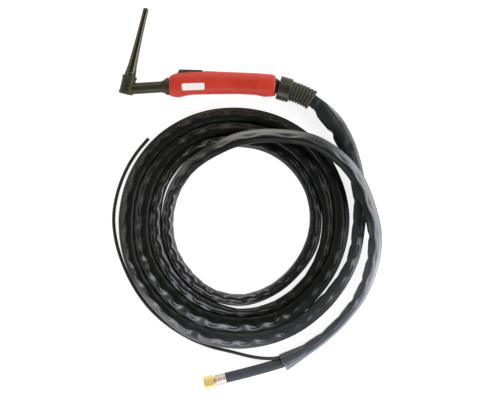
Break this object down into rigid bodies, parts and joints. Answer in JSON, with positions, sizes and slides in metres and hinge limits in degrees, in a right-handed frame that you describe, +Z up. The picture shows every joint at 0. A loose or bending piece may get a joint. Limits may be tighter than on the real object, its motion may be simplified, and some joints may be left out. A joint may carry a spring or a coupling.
{
  "type": "tig welding torch",
  "caption": "Angled TIG welding torch with a lever switch, a swivelling ball knuckle and a jacketed hose package coiled flat beside it.",
  "frame": {"origin": "floor point under the middle of the torch's box (head, back cap, handle, collar and boot; the hose package is left out)", "axes": "+X along the handle from the head towards the hoses, +Y towards the back cap, +Z up from the floor that the torch lies on"},
  "size_m": [0.4038, 0.5729, 0.041],
  "materials": {
    "brass": "machined",
    "nut_brass": "machined, polished flats",
    "copper": "drawn copper tube",
    "black_rubber": "satin moulded",
    "seal_rubber": "matt",
    "hose_rubber": "satin slate",
    "cable_rubber": "satin",
    "black_phenolic": "moulded, semi-gloss",
    "black_plastic": "fine spark texture",
    "red_plastic": "semi-gloss moulded",
    "label_cream": "satin",
    "lever_plastic": "satin",
    "switch_plastic": "moulded",
    "plunger_plastic": "moulded",
    "liner_nylon": "natural nylon",
    "wire_sleeve": "pvc",
    "screw_steel": "zinc plated",
    "pin_steel": "ground",
    "spring_steel": "drawn wire",
    "ferrule_nickel": "nickel plated",
    "jacket": "glossy coated fabric"
  },
  "bodies": {
    "hose_package": {"knuckle_ball": "black_plastic", "ball_collar": "black_plastic", "bend_boot": "black_rubber", "sleeve_tie": "liner_nylon", "jacket_lead": "jacket", "jacket_coil": "jacket", "jacket_tail": "jacket", "power_hose": "hose_rubber", "control_cable": "cable_rubber", "hose_ferrule": "ferrule_nickel", "hose_tail": "brass", "nose_seal": "seal_rubber"},
    "liner": {"ball_liner": "liner_nylon"},
    "swivel": {"swivel_ring": "black_plastic"},
    "torch": {"head_core": "brass", "head_insulation": "black_rubber", "neck_tube": "copper", "neck_bush": "black_rubber", "handle_left": "red_plastic", "handle_right": "red_plastic", "handle_screws": "screw_steel", "label_plate": "label_cream", "trigger_pin": "pin_steel", "trigger_spring": "spring_steel", "switch_body": "switch_plastic", "switch_terminals": "brass", "switch_wires": "wire_sleeve", "torch_connector": "brass", "crimp_ferrule": "ferrule_nickel", "handle_hose": "hose_rubber"},
    "trigger": {"trigger_lever": "lever_plastic"},
    "plunger": {"switch_plunger": "plunger_plastic"},
    "cap_carrier": {"cap_o_ring": "seal_rubber"},
    "cap": {"back_cap": "black_phenolic"},
    "nut": {"union_nut": "nut_brass"}
  },
  "joints": [
    {"name": "knuckle_yaw", "type": "hinge", "parent": "hose_package", "child": "liner", "pos_m": [0.0816, -0.0406, 0.018], "axis": [0, 0, 1], "range_deg": [-36, 4], "deforming": ["handle_hose", "switch_wires"]},
    {"name": "knuckle_pitch", "type": "hinge", "parent": "liner", "child": "swivel", "pos_m": [0.0816, -0.0406, 0.018], "axis": [0, 1, 0], "range_deg": [-20, 20]},
    {"name": "handle_roll", "type": "hinge", "parent": "swivel", "child": "torch", "pos_m": [0.0736, -0.0406, 0.018], "axis": [1, 0, 0], "range_deg": [-90, 90]},
    {"name": "lever_press", "type": "hinge", "parent": "torch", "child": "trigger", "pos_m": [-0.0259, -0.0226, 0.018], "axis": [0, 0, 1], "range_deg": [0, 4], "stiffness_Nm_per_rad": 0.2, "springref_deg": -8.59, "deforming": ["trigger_spring"]},
    {"name": "plunger_press", "type": "slide", "parent": "torch", "child": "plunger", "axis": [0, -1, 0], "range_m": [0, 0.0013]},
    {"name": "cap_travel", "type": "slide", "parent": "torch", "child": "cap_carrier", "axis": [0.2334, 0.9724, 0], "range_m": [0, 0.008]},
    {"name": "cap_turn", "type": "hinge", "parent": "cap_carrier", "child": "cap", "pos_m": [-0.13253, -0.02579, 0.018], "axis": [0.2334, 0.9724, 0], "range_deg": [0, 2880.1]},
    {"name": "nut_spin", "type": "hinge", "parent": "hose_package", "child": "nut", "pos_m": [-0.01423, -0.48529, 0.0088], "axis": [-0.9703, -0.2419, 0], "continuous": true}
  ],
  "couplings": [
    {"joint": "plunger_press", "follows": "lever_press", "m_per_rad": 0.0178},
    {"joint": "cap_turn", "follows": "cap_travel", "rad_per_m": 6283.2}
  ]
}
